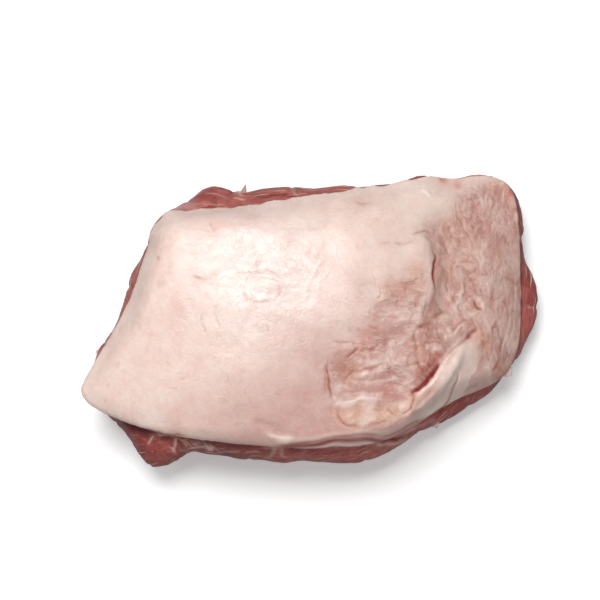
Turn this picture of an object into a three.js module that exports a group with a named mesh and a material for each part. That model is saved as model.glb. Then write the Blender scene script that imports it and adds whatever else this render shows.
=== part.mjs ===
// A raw bone-in pork sirloin roast, lying fat side up: a block of lean with a pale fat cap over it.
// Millimetres, +Z up, +X towards the thin wrinkled flank, +Y towards the back.
// The origin is on the resting plane, under the middle of the roast's box.

import * as THREE from "three";
import { ImprovedNoise } from "three/addons/math/ImprovedNoise.js";

// ---- Driving dimensions ----

// The seam, where the cap's lower edge meets the lean: one closed line round the roast, seen from above
// anticlockwise, as [x, y, height above the resting plane].
const SEAM = [
  [-122, -37, 38], // the thin left corner
  [-115, -44.5, 39],
  [-101, -51.5, 41],
  [-82, -58.5, 44],
  [-56, -63.5, 47],
  [-28, -66.5, 48],
  [2, -68.5, 47],
  [31, -67, 44],
  [54, -60.5, 38],
  [68, -51, 32],
  [81.5, -42, 27],
  [96.5, -35, 24],
  [112.5, -27, 23],
  [121.5, -12, 24], // foot of the flank
  [124, 10, 26],
  [124, 38, 28],
  [123, 65, 30],
  [118, 83, 32], // back right corner
  [103, 87, 36],
  [87, 83.5, 40],
  [70, 84.5, 44],
  [58, 80.5, 46],
  [40, 77.5, 48],
  [10, 72.5, 50],
  [-28, 66.5, 49],
  [-58, 64.5, 46],
  [-78, 62, 43], // back left corner
  [-86.5, 40, 43],
  [-94.5, 14, 42],
  [-107, -10, 40],
  [-118, -28.5, 38],
];

// The crown of the cap, before its edges turn down.
const CROWN_HEIGHT = 77;
// How the crown falls away on each side: from where, over what run, by how much, and how suddenly.
const CROWN_FALLS = [
  { along: [-1, 0], from: 30, run: 97, by: 22, power: 1.6 }, // to the left corner
  { along: [1, 0], from: 22, run: 98, by: 39, power: 1.6 }, // down the flank
  { along: [0, -1], from: -15, run: 86, by: 17, power: 1.9 }, // to the front
  { along: [0, 1], from: 25, run: 60, by: 11, power: 2.0 }, // to the back
];

const CAP_EDGE_FRONT = 6.5; // height of the cut edge of the fat along the front and the left
const CAP_EDGE_BACK = 3.5; // and where the fat thins out, at the back and down the flank
const CAP_EDGE_SWELL = 1.2; // how far that edge stands out past the seam
const CAP_TURN_FRONT = 11; // how far in from the edge the top takes to turn down, at the front
const CAP_TURN_BACK = 30; // and at the back and the flank
const CAP_THICKNESS = 9; // fat over the lean, away from the edges
const SEAM_RISE = 26; // how far in from the edge the seam takes to rise under the crown
const SEAM_GAP = 0.3; // clearance between the two solids

// How far the lean stands out past the seam, and the lobes and notches where it does so more or less.
const LEAN_SWELL = 4;
const LEAN_LOBES = [
  { at: [-78, -60.5], width: 14, out: 14 }, // round muscle end, front left
  { at: [-60, -63.5], width: 5, out: -3 }, // notch beside it
  { at: [-20, -69], width: 45, out: 3 }, // front
  { at: [36, -68], width: 22, out: 3.5 }, // front, under the layered edge
  { at: [84, -44], width: 18, out: 3 }, // front right
  { at: [119, -20], width: 13, out: -4 }, // foot of the flank
  { at: [123, 18], width: 19, out: 10 }, // muscle end on the right
  { at: [-79, 62], width: 12, out: 0.5 }, // back left corner
  { at: [-50, 65], width: 18, out: 13 }, // shoulder beside it
  { at: [-12, 69], width: 30, out: 9 }, // back
  { at: [28, 75], width: 18, out: 2 },
  { at: [-93, 24], width: 18, out: 4 }, // left
  { at: [-110, -12], width: 13, out: 3 },
  { at: [-120, -40], width: 17, out: -8 }, // under the overhanging left corner
];
const LEAN_UNDERCUT = 0.88; // the flat underside, as a share of the seam's outline

// Relief of the cap. Lines run across the cap as [x, y] points.
const FLANK_STEP = {
  line: [[64, 49], [70, 44], [73, 34], [73.5, 24], [73, 15], [70, 7], [64, 0]],
  drop: 5,
  width: 6,
  reach: 24,
};
const DEEP_CREASE = {
  line: [[62, -40], [68, -32], [76, -22], [86, -12], [97, -5]],
  depth: 5,
  width: 3.6,
};
const FOLD = {
  line: [[60, -51], [67, -44], [75, -35], [82, -25], [90, -16], [98, -10]],
  height: 4.5,
  width: 6.5,
};
const HOLLOW = { at: [39, -29], size: [25, 23], depth: 4.5, sharpness: 6 };

// Resolution.
const AROUND = 112; // points in each ring
const RING_CENTRE = new THREE.Vector2(70, -22); // the rings close in on the finest relief
const CAP_RINGS = 19;
const SEAM_RINGS = 6;
const SIDE_LEVELS = [0.07, 0.16, 0.27, 0.4, 0.54, 0.68, 0.8, 0.9, 0.97];
const UNDERSIDE_RINGS = [0.75, 0.4];

// ---- Helpers ----

const clamp01 = (v) => Math.min(1, Math.max(0, v));
const smooth = (v) => clamp01(v) ** 2 * (3 - 2 * clamp01(v));
const bell = (distance, width) => Math.exp(-((distance / width) ** 2));

const noise = new ImprovedNoise();
const GRAIN_OFFSET = 7.3; // keeps the samples off the noise's zero lattice
function unevenness(x, y, z, scale) {
  return noise.noise(x / scale + GRAIN_OFFSET, y / scale + GRAIN_OFFSET, z / scale + GRAIN_OFFSET);
}

// Distance from a point to a line of [x, y] points, the side it lies on (+1 on the line's left),
// and how near the line's ends it is (0 at an end, 1 away from the ends).
function fromLine(line, x, y) {
  const lengths = line.slice(1).map(([bx, by], i) => Math.hypot(bx - line[i][0], by - line[i][1]));
  const total = lengths.reduce((sum, l) => sum + l, 0);
  let best = { distance: Infinity, side: 1, inside: 0 };
  let passed = 0;
  line.slice(1).forEach(([bx, by], i) => {
    const [ax, ay] = line[i];
    const [dx, dy] = [bx - ax, by - ay];
    const share = clamp01(((x - ax) * dx + (y - ay) * dy) / (dx * dx + dy * dy));
    const distance = Math.hypot(x - ax - share * dx, y - ay - share * dy);
    if (distance < best.distance) {
      const along = (passed + share * lengths[i]) / total;
      const side = Math.sign(dx * (y - ay) - dy * (x - ax)) || 1;
      best = { distance, side, inside: Math.sin(Math.PI * along) };
    }
    passed += lengths[i];
  });
  return best;
}

// A closed body from a first pole, rings of equal count and a last pole, with the faces pointing out when
// the rings go anticlockwise from the underside outwards, up, and in over the top.
function bodyOfRings(firstPole, rings, lastPole) {
  const points = [firstPole, ...rings.flat(), lastPole];
  const last = points.length - 1;
  const at = (ring, i) => 1 + ring * AROUND + (i % AROUND);
  const index = [];
  for (let i = 0; i < AROUND; i++) {
    index.push(0, at(0, i + 1), at(0, i));
    for (let ring = 0; ring < rings.length - 1; ring++) {
      const [a, b, c, d] = [at(ring, i), at(ring, i + 1), at(ring + 1, i + 1), at(ring + 1, i)];
      const splitOnAC = points[a].distanceTo(points[c]) < points[b].distanceTo(points[d]);
      index.push(...(splitOnAC ? [a, b, c, a, c, d] : [a, b, d, b, c, d]));
    }
    index.push(last, at(rings.length - 1, i), at(rings.length - 1, i + 1));
  }
  const geometry = new THREE.BufferGeometry().setFromPoints(points);
  geometry.setIndex(index);
  geometry.computeVertexNormals();
  return geometry;
}

// ---- The seam line, with its outward direction in plan ----

const seamCurve = new THREE.CatmullRomCurve3(
  SEAM.map(([x, y, z]) => new THREE.Vector3(x, y, z)),
  true,
  "centripetal",
);

const seam = Array.from({ length: AROUND }, (_, i) => {
  const point = seamCurve.getPointAt(i / AROUND);
  const tangent = seamCurve.getTangentAt(i / AROUND);
  return { point, outward: new THREE.Vector2(tangent.y, -tangent.x).normalize() };
});

// 1 where the outline faces the front or the left, and 0 at the back and down the flank.
function frontness(outward) {
  return smooth(0.55 - 0.75 * outward.y - 0.45 * outward.x);
}

// ---- The cap's top surface ----

function crown(x, y) {
  let z = CROWN_HEIGHT;
  for (const { along, from, run, by, power } of CROWN_FALLS) {
    const beyond = Math.max(0, x * along[0] + y * along[1] - from) / run;
    z -= by * beyond ** power;
  }
  return z;
}

function flankStep(x, y) {
  const { distance, side, inside } = fromLine(FLANK_STEP.line, x, y);
  const drop = FLANK_STEP.drop * Math.sqrt(inside);
  if (side < 0) return drop * 0.35 * bell(distance, FLANK_STEP.reach); // the raised lip beside the step
  return -drop * smooth(distance / FLANK_STEP.width) * bell(distance, FLANK_STEP.reach);
}

function deepCrease(x, y) {
  const { distance, inside } = fromLine(DEEP_CREASE.line, x, y);
  return -DEEP_CREASE.depth * Math.sqrt(inside) * bell(distance, DEEP_CREASE.width);
}

function fold(x, y) {
  const { distance, inside } = fromLine(FOLD.line, x, y);
  return FOLD.height * Math.sqrt(inside) * bell(distance, FOLD.width);
}

function hollow(x, y) {
  const across = Math.abs((x - HOLLOW.at[0]) / HOLLOW.size[0]);
  const along = Math.abs((y - HOLLOW.at[1]) / HOLLOW.size[1]);
  const reach = Math.hypot(across ** 2, along ** 2); // a rounded box
  return -HOLLOW.depth / (1 + reach ** HOLLOW.sharpness);
}

function relief(x, y) {
  const waves = 1.6 * unevenness(x, y, 0, 34) + 0.8 * unevenness(x, y, 40, 14);
  return flankStep(x, y) + deepCrease(x, y) + fold(x, y) + hollow(x, y) + waves;
}

// A point on the cap's top: a share of the way from the edge, 0, to the centre of the rings, 1.
function capTop({ point, outward }, share) {
  const x = point.x + (RING_CENTRE.x - point.x) * share;
  const y = point.y + (RING_CENTRE.y - point.y) * share;
  const inFromEdge = share * Math.hypot(RING_CENTRE.x - point.x, RING_CENTRE.y - point.y);
  const front = frontness(outward);
  const edgeHeight = point.z + THREE.MathUtils.lerp(CAP_EDGE_BACK, CAP_EDGE_FRONT, front);
  const turn = THREE.MathUtils.lerp(CAP_TURN_BACK, CAP_TURN_FRONT, front);
  const down = clamp01(1 - inFromEdge / turn) ** 2.4 * (crown(point.x, point.y) - edgeHeight);
  return new THREE.Vector3(x, y, crown(x, y) - down + relief(x, y) * smooth(inFromEdge / 8));
}

// ---- The surface between fat and lean: the crown lowered by the fat's thickness, met by the seam ----

function seamSurface({ point }, share) {
  const x = point.x + (RING_CENTRE.x - point.x) * share;
  const y = point.y + (RING_CENTRE.y - point.y) * share;
  const inFromEdge = share * Math.hypot(RING_CENTRE.x - point.x, RING_CENTRE.y - point.y);
  const fat = CAP_THICKNESS + 4 * bell(Math.hypot(x - 66, y + 34), 30); // thicker under the folds
  const inner = crown(x, y) - fat;
  const rise = 1 - (1 - clamp01(inFromEdge / SEAM_RISE)) ** 2;
  return new THREE.Vector3(x, y, THREE.MathUtils.lerp(point.z, inner, rise));
}

const seamShares = Array.from({ length: SEAM_RINGS }, (_, k) => ((k + 1) / (SEAM_RINGS + 1)) ** 1.25);
const seamRings = seamShares.map((share) => seam.map((station) => seamSurface(station, share)));
const seamPole = seamSurface(seam[0], 1);
const raised = (p) => p.clone().setZ(p.z + SEAM_GAP);

// ---- Lean ----

function leanSwell(point) {
  return LEAN_LOBES.reduce(
    (sum, { at, width, out }) => sum + out * bell(Math.hypot(point.x - at[0], point.y - at[1]), width),
    LEAN_SWELL,
  );
}

// A point on the lean's side: level 0 at the seam, and 1 on the resting plane.
function leanSide({ point, outward }, level) {
  const under = 1 - Math.sqrt(1 - level ** 5);
  const share = THREE.MathUtils.lerp(1, LEAN_UNDERCUT, under);
  const out = leanSwell(point) * Math.sin(Math.PI * level ** 0.8) ** 0.8;
  const x = point.x * share + outward.x * out;
  const y = point.y * share + outward.y * out;
  const z = point.z * (1 - level);
  const muscles = 3.4 * unevenness(x, y, z * 0.6, 22) * Math.sin(Math.PI * level);
  return new THREE.Vector3(x + outward.x * muscles, y + outward.y * muscles, z);
}

function leanMeat() {
  const foot = seam.map(({ point }) => point.clone().multiplyScalar(LEAN_UNDERCUT).setZ(0));
  const rings = [
    ...UNDERSIDE_RINGS.toReversed().map((share) => foot.map((p) => p.clone().multiplyScalar(share))),
    foot,
    ...SIDE_LEVELS.toReversed().map((level) => seam.map((station) => leanSide(station, level))),
    seam.map(({ point }) => point.clone()),
    ...seamRings,
  ];
  return bodyOfRings(new THREE.Vector3(0, 0, 0), rings, seamPole);
}

// ---- Fat cap ----

function fatCap() {
  const edge = ({ point, outward }, out, up) => {
    const height = THREE.MathUtils.lerp(CAP_EDGE_BACK, CAP_EDGE_FRONT, frontness(outward));
    const z = point.z + SEAM_GAP + height * up;
    return new THREE.Vector3(point.x + outward.x * out, point.y + outward.y * out, z);
  };
  const topShares = Array.from({ length: CAP_RINGS }, (_, k) => ((k + 0.7) / CAP_RINGS) ** 1.35);
  const rings = [
    ...seamRings.toReversed().map((ring) => ring.map(raised)),
    seam.map((station) => edge(station, 0, 0)),
    seam.map((station) => edge(station, CAP_EDGE_SWELL, 0.4)),
    seam.map((station) => edge(station, 0.3 * CAP_EDGE_SWELL, 0.85)),
    ...topShares.map((share) => seam.map((station) => capTop(station, share))),
  ];
  return bodyOfRings(raised(seamPole), rings, capTop(seam[0], 1));
}

// ---- The roast ----

const leanMaterial = new THREE.MeshStandardMaterial({ color: 0x9a4f4a, roughness: 0.45, metalness: 0 });
const fatMaterial = new THREE.MeshStandardMaterial({ color: 0xecd3c8, roughness: 0.4, metalness: 0 });

function piece(name, geometry, material) {
  const mesh = new THREE.Mesh(geometry, material);
  mesh.name = name;
  return mesh;
}

const roast = new THREE.Group();
roast.add(piece("lean_meat", leanMeat(), leanMaterial));
roast.add(piece("fat_cap", fatCap(), fatMaterial));

const box = new THREE.Box3().setFromObject(roast);
const middle = box.getCenter(new THREE.Vector3());
roast.position.set(-middle.x, -middle.y, -box.min.z);

export default roast;
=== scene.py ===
"""A raw bone-in pork sirloin roast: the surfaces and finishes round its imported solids.

The solids are in metres, +X towards the thin wrinkled flank, +Y towards the back, +Z up.
Carving is worked out in millimetres on the same axes.
"""

import functools
import itertools
import math

import bmesh
import bpy
import numpy as np
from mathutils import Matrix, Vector
from mathutils.bvhtree import BVHTree
from mathutils.kdtree import KDTree


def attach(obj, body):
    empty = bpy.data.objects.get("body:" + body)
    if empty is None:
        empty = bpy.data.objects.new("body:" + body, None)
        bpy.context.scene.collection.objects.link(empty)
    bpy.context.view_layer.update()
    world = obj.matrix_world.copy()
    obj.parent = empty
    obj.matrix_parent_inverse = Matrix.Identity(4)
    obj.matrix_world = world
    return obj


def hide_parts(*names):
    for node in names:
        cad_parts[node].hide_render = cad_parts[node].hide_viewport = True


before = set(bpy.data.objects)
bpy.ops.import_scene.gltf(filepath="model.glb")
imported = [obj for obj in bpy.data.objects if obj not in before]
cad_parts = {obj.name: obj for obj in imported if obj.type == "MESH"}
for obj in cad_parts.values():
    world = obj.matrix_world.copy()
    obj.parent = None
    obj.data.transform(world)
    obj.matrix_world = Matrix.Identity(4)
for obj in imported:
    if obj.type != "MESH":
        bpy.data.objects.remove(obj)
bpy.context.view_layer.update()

MM = 0.001

# ---- Smooth random fields, in millimetres ----

FIELD_CELLS = 256  # the noise repeats after this many lumps: a power of two
SEED_APART = 13.7  # how far apart in the noise two seeds lie
WAVE_HEIGHT = 1.6  # brings the noise to about -1 to 1
_draw = np.random.default_rng(11)
SHUFFLE = np.tile(_draw.permutation(FIELD_CELLS), 2)
SLOPES = _draw.normal(size=(FIELD_CELLS, 3))
SLOPES /= np.linalg.norm(SLOPES, axis=1)[:, None]


def waves(at, size, seed=0):
    """Smooth noise from about -1 to 1, with lumps about size across, at points given as an (n, 3) array."""
    place = np.asarray(at) / size + SEED_APART * seed + 0.31
    cell = np.floor(place).astype(int)
    rest = place - cell
    fade = rest**3 * (rest * (rest * 6 - 15) + 10)
    total = np.zeros(len(place))
    for corner in itertools.product((0, 1), repeat=3):
        i, j, k = ((cell + corner) & (FIELD_CELLS - 1)).T
        slope = SLOPES[SHUFFLE[SHUFFLE[SHUFFLE[i] + j] + k]]
        weight = np.prod(np.where(corner, fade, 1 - fade), axis=1)
        total += weight * np.einsum("ij,ij->i", slope, rest - corner)
    return total * WAVE_HEIGHT


def rough(at, size, layers=3, seed=0):
    """Several layers of waves, each half the size and half the height of the one before."""
    return sum(waves(at, size / 2**k, seed + k) / 2**k for k in range(layers))


def wrinkles(at, size, layers=2, seed=0):
    """Noise folded into narrow valleys: 0 on the broad backs between them, towards -1 in a valley."""
    valleys = (np.clip(1 - 2.4 * np.abs(waves(at, size / 2**k, seed + k)), 0, 1) for k in range(layers))
    return sum(-valley**1.5 / 2**k for k, valley in enumerate(valleys))


def drift(at, size, seed, axes=2):
    """A smooth random move at each point, up to about 1 long, along the first two or all three axes."""
    moves = [waves(at, size, seed + k) if k < axes else 0 * at[:, 0] for k in range(3)]
    return np.stack(moves, 1)


def step(value, low, high):
    """0 below low, 1 above high, and smooth between."""
    share = np.clip((value - low) / (high - low), 0, 1)
    return share * share * (3 - 2 * share)


def bump(distance, width):
    """1 at no distance, and next to nothing from twice the width on."""
    return np.exp(-((distance / width) ** 2))


# ---- Lines drawn over a surface, seen from above ----

LINE_STEP = 1.0  # millimetres between the points of a rounded line


def rounded(line):
    """The line's corners rounded off: a smooth curve through its points, about LINE_STEP apart."""
    points = np.array(line, float)
    ends = np.vstack([2 * points[0] - points[1], points, 2 * points[-1] - points[-2]])
    out = []
    for a, b, c, d in zip(ends, ends[1:], ends[2:], ends[3:]):
        count = max(2, int(np.linalg.norm(c - b) / LINE_STEP))
        t = np.arange(count)[:, None] / count
        curve = 2 * b + (c - a) * t + (2 * a - 5 * b + 4 * c - d) * t**2 + (3 * b - a - 3 * c + d) * t**3
        out.append(curve / 2)
    return np.vstack([*out, points[-1:]])


def beside(at, line, reach):
    """Which points lie within reach of a line, and for those their distance to it, signed distance (+ on the
    line's left) and place along it from 0 to 1."""
    curve = rounded(line)
    low, high = curve.min(0) - reach, curve.max(0) + reach
    near = np.flatnonzero(np.all((at[:, :2] > low) & (at[:, :2] < high), axis=1))
    spot = at[near, :2]
    best = np.full(len(near), np.inf)
    side = np.zeros(len(near))
    along = np.zeros(len(near))
    for k, (a, b) in enumerate(zip(curve, curve[1:])):
        run = b - a
        share = np.clip((spot - a) @ run / (run @ run), 0, 1)
        away = spot - a - share[:, None] * run
        distance = np.hypot(*away.T)
        closer = distance < best
        best[closer] = distance[closer]
        side[closer] = np.sign(run[0] * away[:, 1] - run[1] * away[:, 0])[closer]
        along[closer] = ((k + share) / (len(curve) - 1))[closer]
    kept = best < reach
    return near[kept], best[kept], (best * side)[kept], along[kept]


def inside(at, outline, soft):
    """1 within a closed outline seen from above, 0 outside it, and smooth across a band at its edge."""
    corners = [*outline, outline[0]]
    within = np.zeros(len(at), bool)
    for (ax, ay), (bx, by) in zip(corners, corners[1:]):
        spans = (at[:, 1] < ay) != (at[:, 1] < by)
        crossing = ax + (at[:, 1] - ay) * (bx - ax) / (by - ay if by != ay else 1)
        within ^= spans & (at[:, 0] < crossing)
    depth = np.where(within, soft, -soft).astype(float)
    near, distance, _, _ = beside(at, corners, soft)
    depth[near] = np.where(within[near], distance, -distance)
    return step(depth, -soft, soft)


def taper(along, run_in=0.15):
    """1 along a line's middle, falling to 0 at its two ends."""
    return step(np.minimum(along, 1 - along), -0.01, run_in)


# ---- Meshes ----


WELD_REACH = 0.01 * MM
HIDDEN_FIRST = 200  # how much sooner hidden faces are taken than the others
EDGE_UPRIGHT = 0.12  # how little the outer edge faces up or down


def new_object(name, data):
    """An object with that data, linked into the scene."""
    made = bpy.data.objects.new(name, data)
    bpy.context.scene.collection.objects.link(made)
    return made


def surface_of(mesh):
    """A mesh's faces, to find the nearest or the next one in."""
    return BVHTree.FromPolygons([v.co for v in mesh.vertices], [p.vertices for p in mesh.polygons])


def weld(node, name):
    """A CAD node's mesh as a new object, its triangles joined up and paired into four-sided faces."""
    piece = new_object(name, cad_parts[node].data.copy())
    work = bmesh.new()
    work.from_mesh(piece.data)
    bmesh.ops.remove_doubles(work, verts=work.verts, dist=WELD_REACH)
    any_angle = {"angle_face_threshold": math.pi, "angle_shape_threshold": math.pi}
    bmesh.ops.join_triangles(work, faces=work.faces, **any_angle)
    work.to_mesh(piece.data)
    work.free()
    piece.data.materials.clear()
    return piece


def settle(piece):
    """Applies the piece's modifiers to its mesh."""
    bpy.context.view_layer.update()
    result = bpy.data.meshes.new_from_object(piece.evaluated_get(bpy.context.evaluated_depsgraph_get()))
    result.name = piece.name
    piece.modifiers.clear()
    piece.data = result
    return piece


def even_faces(piece, size):
    """Rounds the flat CAD faces off and covers the piece with even four-sided faces of that size."""
    piece.modifiers.new("rounding", "SUBSURF").levels = 2
    remesh = piece.modifiers.new("even faces", "REMESH")
    remesh.mode = "VOXEL"
    remesh.voxel_size = size
    remesh.use_smooth_shade = True
    smooth = piece.modifiers.new("smooth", "SMOOTH")
    smooth.iterations = 4
    return settle(piece)


def three_each(points, name):
    """A value with three numbers for each point, as an (n, 3) array."""
    flat = np.empty(len(points) * 3, np.float32)
    points.foreach_get(name, flat)
    return flat.reshape(-1, 3).astype(float)


def places(piece):
    """Where the piece's points are, in millimetres."""
    return three_each(piece.data.vertices, "co") / MM


def facing(piece):
    """The outward direction at each of the piece's points."""
    return three_each(piece.data.vertex_normals, "vector")


def place(piece, at):
    """Moves the piece's points to those places, in millimetres."""
    piece.data.vertices.foreach_set("co", (at * MM).astype(np.float32).ravel())
    piece.data.update()


def paint(piece, **masks):
    """Stores each mask as a value on the piece's points, for its material to read."""
    for name, values in masks.items():
        values = np.asarray(values, np.float32)
        kind, field = ("FLOAT", "value") if values.ndim == 1 else ("FLOAT_VECTOR", "vector")
        piece.data.attributes.new(name, kind, "POINT").data.foreach_set(field, values.ravel())


def thin_out(piece, hidden, share):
    """Brings the piece down to a share of its faces, nearly all of them taken where hidden is 1."""
    marked = piece.vertex_groups.new(name="hidden")
    levels = np.round(hidden, 1)
    for level in np.unique(levels):
        marked.add(np.flatnonzero(levels == level).tolist(), float(level), "REPLACE")
    fewer = piece.modifiers.new("fewer faces", "DECIMATE")
    fewer.ratio = share
    fewer.vertex_group = marked.name
    fewer.vertex_group_factor = HIDDEN_FIRST
    settle(piece)
    piece.vertex_groups.clear()


def edge_distance(at, outward):
    """How far each point is, seen from above, from the outer edge, where the surface turns under."""
    rim = at[np.abs(outward[:, 2]) < EDGE_UPRIGHT]
    tree = KDTree(len(rim))
    for k, (x, y, _) in enumerate(rim):
        tree.insert((x, y, 0), k)
    tree.balance()
    return np.array([tree.find((x, y, 0))[2] for x, y, _ in at])


# ---- The fat cap ----

CAP_FACE = 0.75 * MM
CAP_KEPT = 0.58  # share of the faces kept once the hidden underside is thinned out
CAP_UNDERSIDE = -0.25  # faces that look down more steeply than this are hidden
MASKS = (
    "rise", "crease", "white", "vein", "blush", "brown", "lilac", "meat", "membrane", "crinkle_and_sheen", "wet",
    "blood",
)

# The flat plateau ends along this raised lip, and the flank drops away to its right.
CREST = [(57, 41), (62, 39), (65, 36), (66, 30), (66, 22), (66, 13), (65, 6), (62, -1), (59, -9), (55, -15)]
SLIT = [(67, 32), (68, 28), (67, 24), (66.5, 19), (67, 14), (67, 10)]
# The deep cut between the hollow and the fold, which fades to the right, and the two ridges of the fold.
DEEP_CUT = [(52, -47.5), (56, -45), (60, -42), (64, -37.5), (68, -33), (70.5, -29)]
CUT_TAIL = [(70, -30), (74, -25), (79, -20), (84, -15.5), (88, -11), (94, -9)]
FOLD_LIP = [
    (53, -51), (57, -47.5), (62.5, -43.5), (68, -37.5), (72, -30.5), (75, -24), (80, -18.5), (86, -14),
]
SECOND_RIDGE = [
    (54, -58), (60, -54), (66, -49), (70, -44.5), (73, -39), (76.5, -33), (79.5, -27), (83, -20), (87, -14),
]

# Outlines of the parts of the cap that differ, seen from above.
HOLLOW = [
    (8, -30), (7, -42), (10, -53), (24, -52), (40, -50), (54, -48), (60, -38), (66, -30), (60, -18),
    (56, -8), (62, 4), (63, 20), (52, 18), (42, 11), (36, 6), (33, -4), (28, -14), (18, -22),
]
POCKET = [
    (12, -56), (20, -52.5), (30, -50.5), (40, -51), (50, -50), (54, -50), (53, -55), (49, -58.5), (43, -62),
    (36, -64), (28, -66), (21, -66.5), (16, -64.5), (13.5, -61),
]
FLANK = [
    (64, 46), (66.5, 34), (66.5, 20), (65, 6), (61.5, -2), (58, -12), (60, -24), (67, -32), (76, -20),
    (86, -14), (92, -24), (98, -34), (110, -36), (124, -24), (130, 10), (130, 50), (122, 76), (100, 76),
    (84, 66), (74, 56),
]
LOBES = [
    (66, 2), (62, -12), (62, -26), (70, -29), (80, -16), (96, -10), (100, 4), (92, 22), (82, 24), (74, 14),
]

# A faint ring on the plateau, which is both a crease and a ridge.
RING = [(-37, 14), (-38, 9), (-35, 3), (-28, 1), (-21, 3), (-18, 8), (-21, 13), (-29, 15)]

# Creases cut into the cap: line, depth, width and how red-brown they are.
CREASES = [
    ([(9, -29), (8, -35), (8, -40), (9, -46), (10, -50), (12, -54)], 1.1, 1.0, 0.75),  # hollow's left edge
    ([(6, -37), (6, -42), (7, -49)], 0.4, 0.7, 0.35),
    ([(12, -55.5), (13.5, -60), (16, -64), (21, -66), (28, -66)], 0.8, 1.0, 0.7),  # outline of the pocket
    ([(27, -66), (36, -63.5), (43, -62)], 0.5, 1.0, 0.4),
    ([(55, -45), (54.5, -50), (53, -55), (49, -58), (46, -59.5)], 1.1, 1.0, 0.75),
    ([(41, -55), (43, -57.5), (46, -59.5)], 0.5, 0.8, 0.45),
    ([(15, -44), (17, -41), (20, -37.5), (24, -35.5), (29, -34), (35, -33), (39, -31), (43, -30)],
     1.0, 1.0, 0.6),
    ([(18.5, -30), (20.5, -27), (22.5, -25), (24, -23)], 0.9, 1.2, 1.0),  # red cut in the hollow
    ([(10, -20.5), (14, -21), (18, -20), (22, -18)], 0.4, 0.8, 0.45),
    ([(30, -11), (33, -12), (36, -12.5)], 0.5, 0.8, 0.45),
    ([(32, -25), (34, -22.5), (37, -21)], 0.5, 0.9, 0.6),
    ([(28, -24.5), (31, -24), (34, -23)], 0.4, 0.8, 0.4),
    ([(59, -8), (60, -5), (62, 0), (63.5, 4)], 0.6, 1.0, 0.45),
    ([(55, -12), (58, -10.5), (62, -12)], 0.6, 0.8, 0.45),
    ([(55, -12), (55.5, -17), (56, -22), (56, -28)], 0.9, 1.0, 0.55),
    ([(44, -38), (48, -38.5), (52, -38)], 0.4, 0.7, 0.5),
    ([(61, -19.5), (65, -18.5), (68, -18), (72, -19.5)], 0.8, 0.8, 0.5),
    ([(56, -29), (59, -32), (62, -35)], 0.7, 1.0, 0.7),
    ([(55, -55), (59, -51.5), (63, -47.5), (67, -43)], 0.7, 1.2, 0.3),  # between the fold's ridges
    ([(68, -54), (72, -51), (75, -48.5), (77.5, -45), (79.5, -39), (81, -33)], 1.0, 0.7, 0.75),
    ([(54, 40), (57, 42), (60, 43), (63, 43.5), (66, 41)], 0.7, 0.9, 0.5),
    ([(43, 34.5), (49, 35), (54, 36.5), (58, 39)], 0.4, 0.9, 0.3),
    ([(35, 35), (39, 34.5), (44, 35.5)], 0.3, 0.9, 0.2),
    ([(71, 41), (73, 38), (75, 34), (76, 30)], 0.7, 0.9, 0.45),
    ([(81, 28), (85, 28.3), (88, 28), (92, 27.5)], 0.7, 0.9, 0.45),
    ([(73, 26), (75, 20), (74, 15), (73, 11)], 0.4, 0.9, 0.3),
    ([(78, 9), (79, 5), (80, 3)], 0.5, 0.8, 0.4),
    ([(74, 14), (74.5, 12), (75, 10)], 0.4, 0.8, 0.4),
    ([(87.5, 21), (90, 16), (91, 12)], 0.5, 0.9, 0.3),
    ([(90, 8), (90, 5), (92, 2.5), (95.5, 2)], 1.1, 0.9, 1.0),  # the dark comma
    ([(64, -5), (68, -3.5), (71, -2), (76, 0.5)], 1.0, 1.0, 0.55),
    ([(76, -12.5), (79.5, -9.5), (83, -6), (87, -4)], 1.2, 1.0, 0.65),
    ([(99, -8), (102, -8), (104, -3)], 0.5, 0.9, 0.45),
    ([(84, -15.5), (87, -13), (90, -11), (93, -11)], 1.0, 1.0, 0.6),
    ([(92, -15), (95, -17), (96, -21)], 0.6, 0.9, 0.4),
    ([(105, 8), (108, 7), (110, 3)], 0.5, 0.8, 0.45),
    ([(104, -3), (101, -8), (102, -13)], 0.4, 0.8, 0.3),
    ([(102, 71), (103, 65), (102, 61), (101, 58)], 0.4, 0.8, 0.4),
    ([(109, 66), (110, 58), (111, 50)], 0.35, 0.8, 0.25),
    ([(113, 64), (114.5, 57), (116, 46)], 0.35, 0.8, 0.25),
    ([(91, 64), (90, 57), (88, 50)], 0.25, 0.8, 0.2),
    ([(54, -14.5), (58, -11.5), (63, -8.5), (67, -7)], 0.8, 1.0, 0.45),
    ([(59, -13), (64, -15.5), (69, -16), (75, -15)], 0.7, 0.9, 0.35),
    ([(60, -24), (62, -21), (62, -17)], 0.7, 1.0, 0.4),
    (RING, 0.5, 0.7, 0.22),
    ([(-45, 14), (-40, 16), (-35, 17), (-31, 17), (-25, 18), (-20, 15), (-14, 10)], 0.5, 0.7, 0.25),
    ([(-33, 18), (-31, 22), (-30, 26)], 0.5, 0.8, 0.25),
    ([(-68, 16), (-60, 14), (-54, 17), (-50, 16)], 0.4, 0.8, 0.2),
    ([(-60, -2), (-61, -10), (-58, -18)], 0.4, 0.8, 0.15),
    ([(-52, 2), (-53, -8), (-50, -14)], 0.4, 0.8, 0.15),
    ([(101, -37), (104, -35), (108, -32), (111, -28)], 0.6, 0.8, 0.55),  # crinkled right end
    ([(100, -33), (103.5, -29), (105, -24)], 0.5, 0.7, 0.45),
    ([(106, -29), (108.5, -23), (110, -16)], 0.4, 0.7, 0.35),
    ([(104, -24), (106, -18), (107, -12)], 0.4, 0.7, 0.3),
    ([(-36, -62), (-30, -63), (-25, -64.5), (-20, -66.5), (-14, -69)], 1.0, 1.8, 0.15),  # dent at the front
    # A brown line along the cut edge at the front left: a painted shadow line.
    ([(-105, -61), (-97, -64), (-90, -65.5), (-83, -67), (-75, -68.5), (-66, -69.5)], 0.5, 0.6, 0.75),
]

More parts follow.
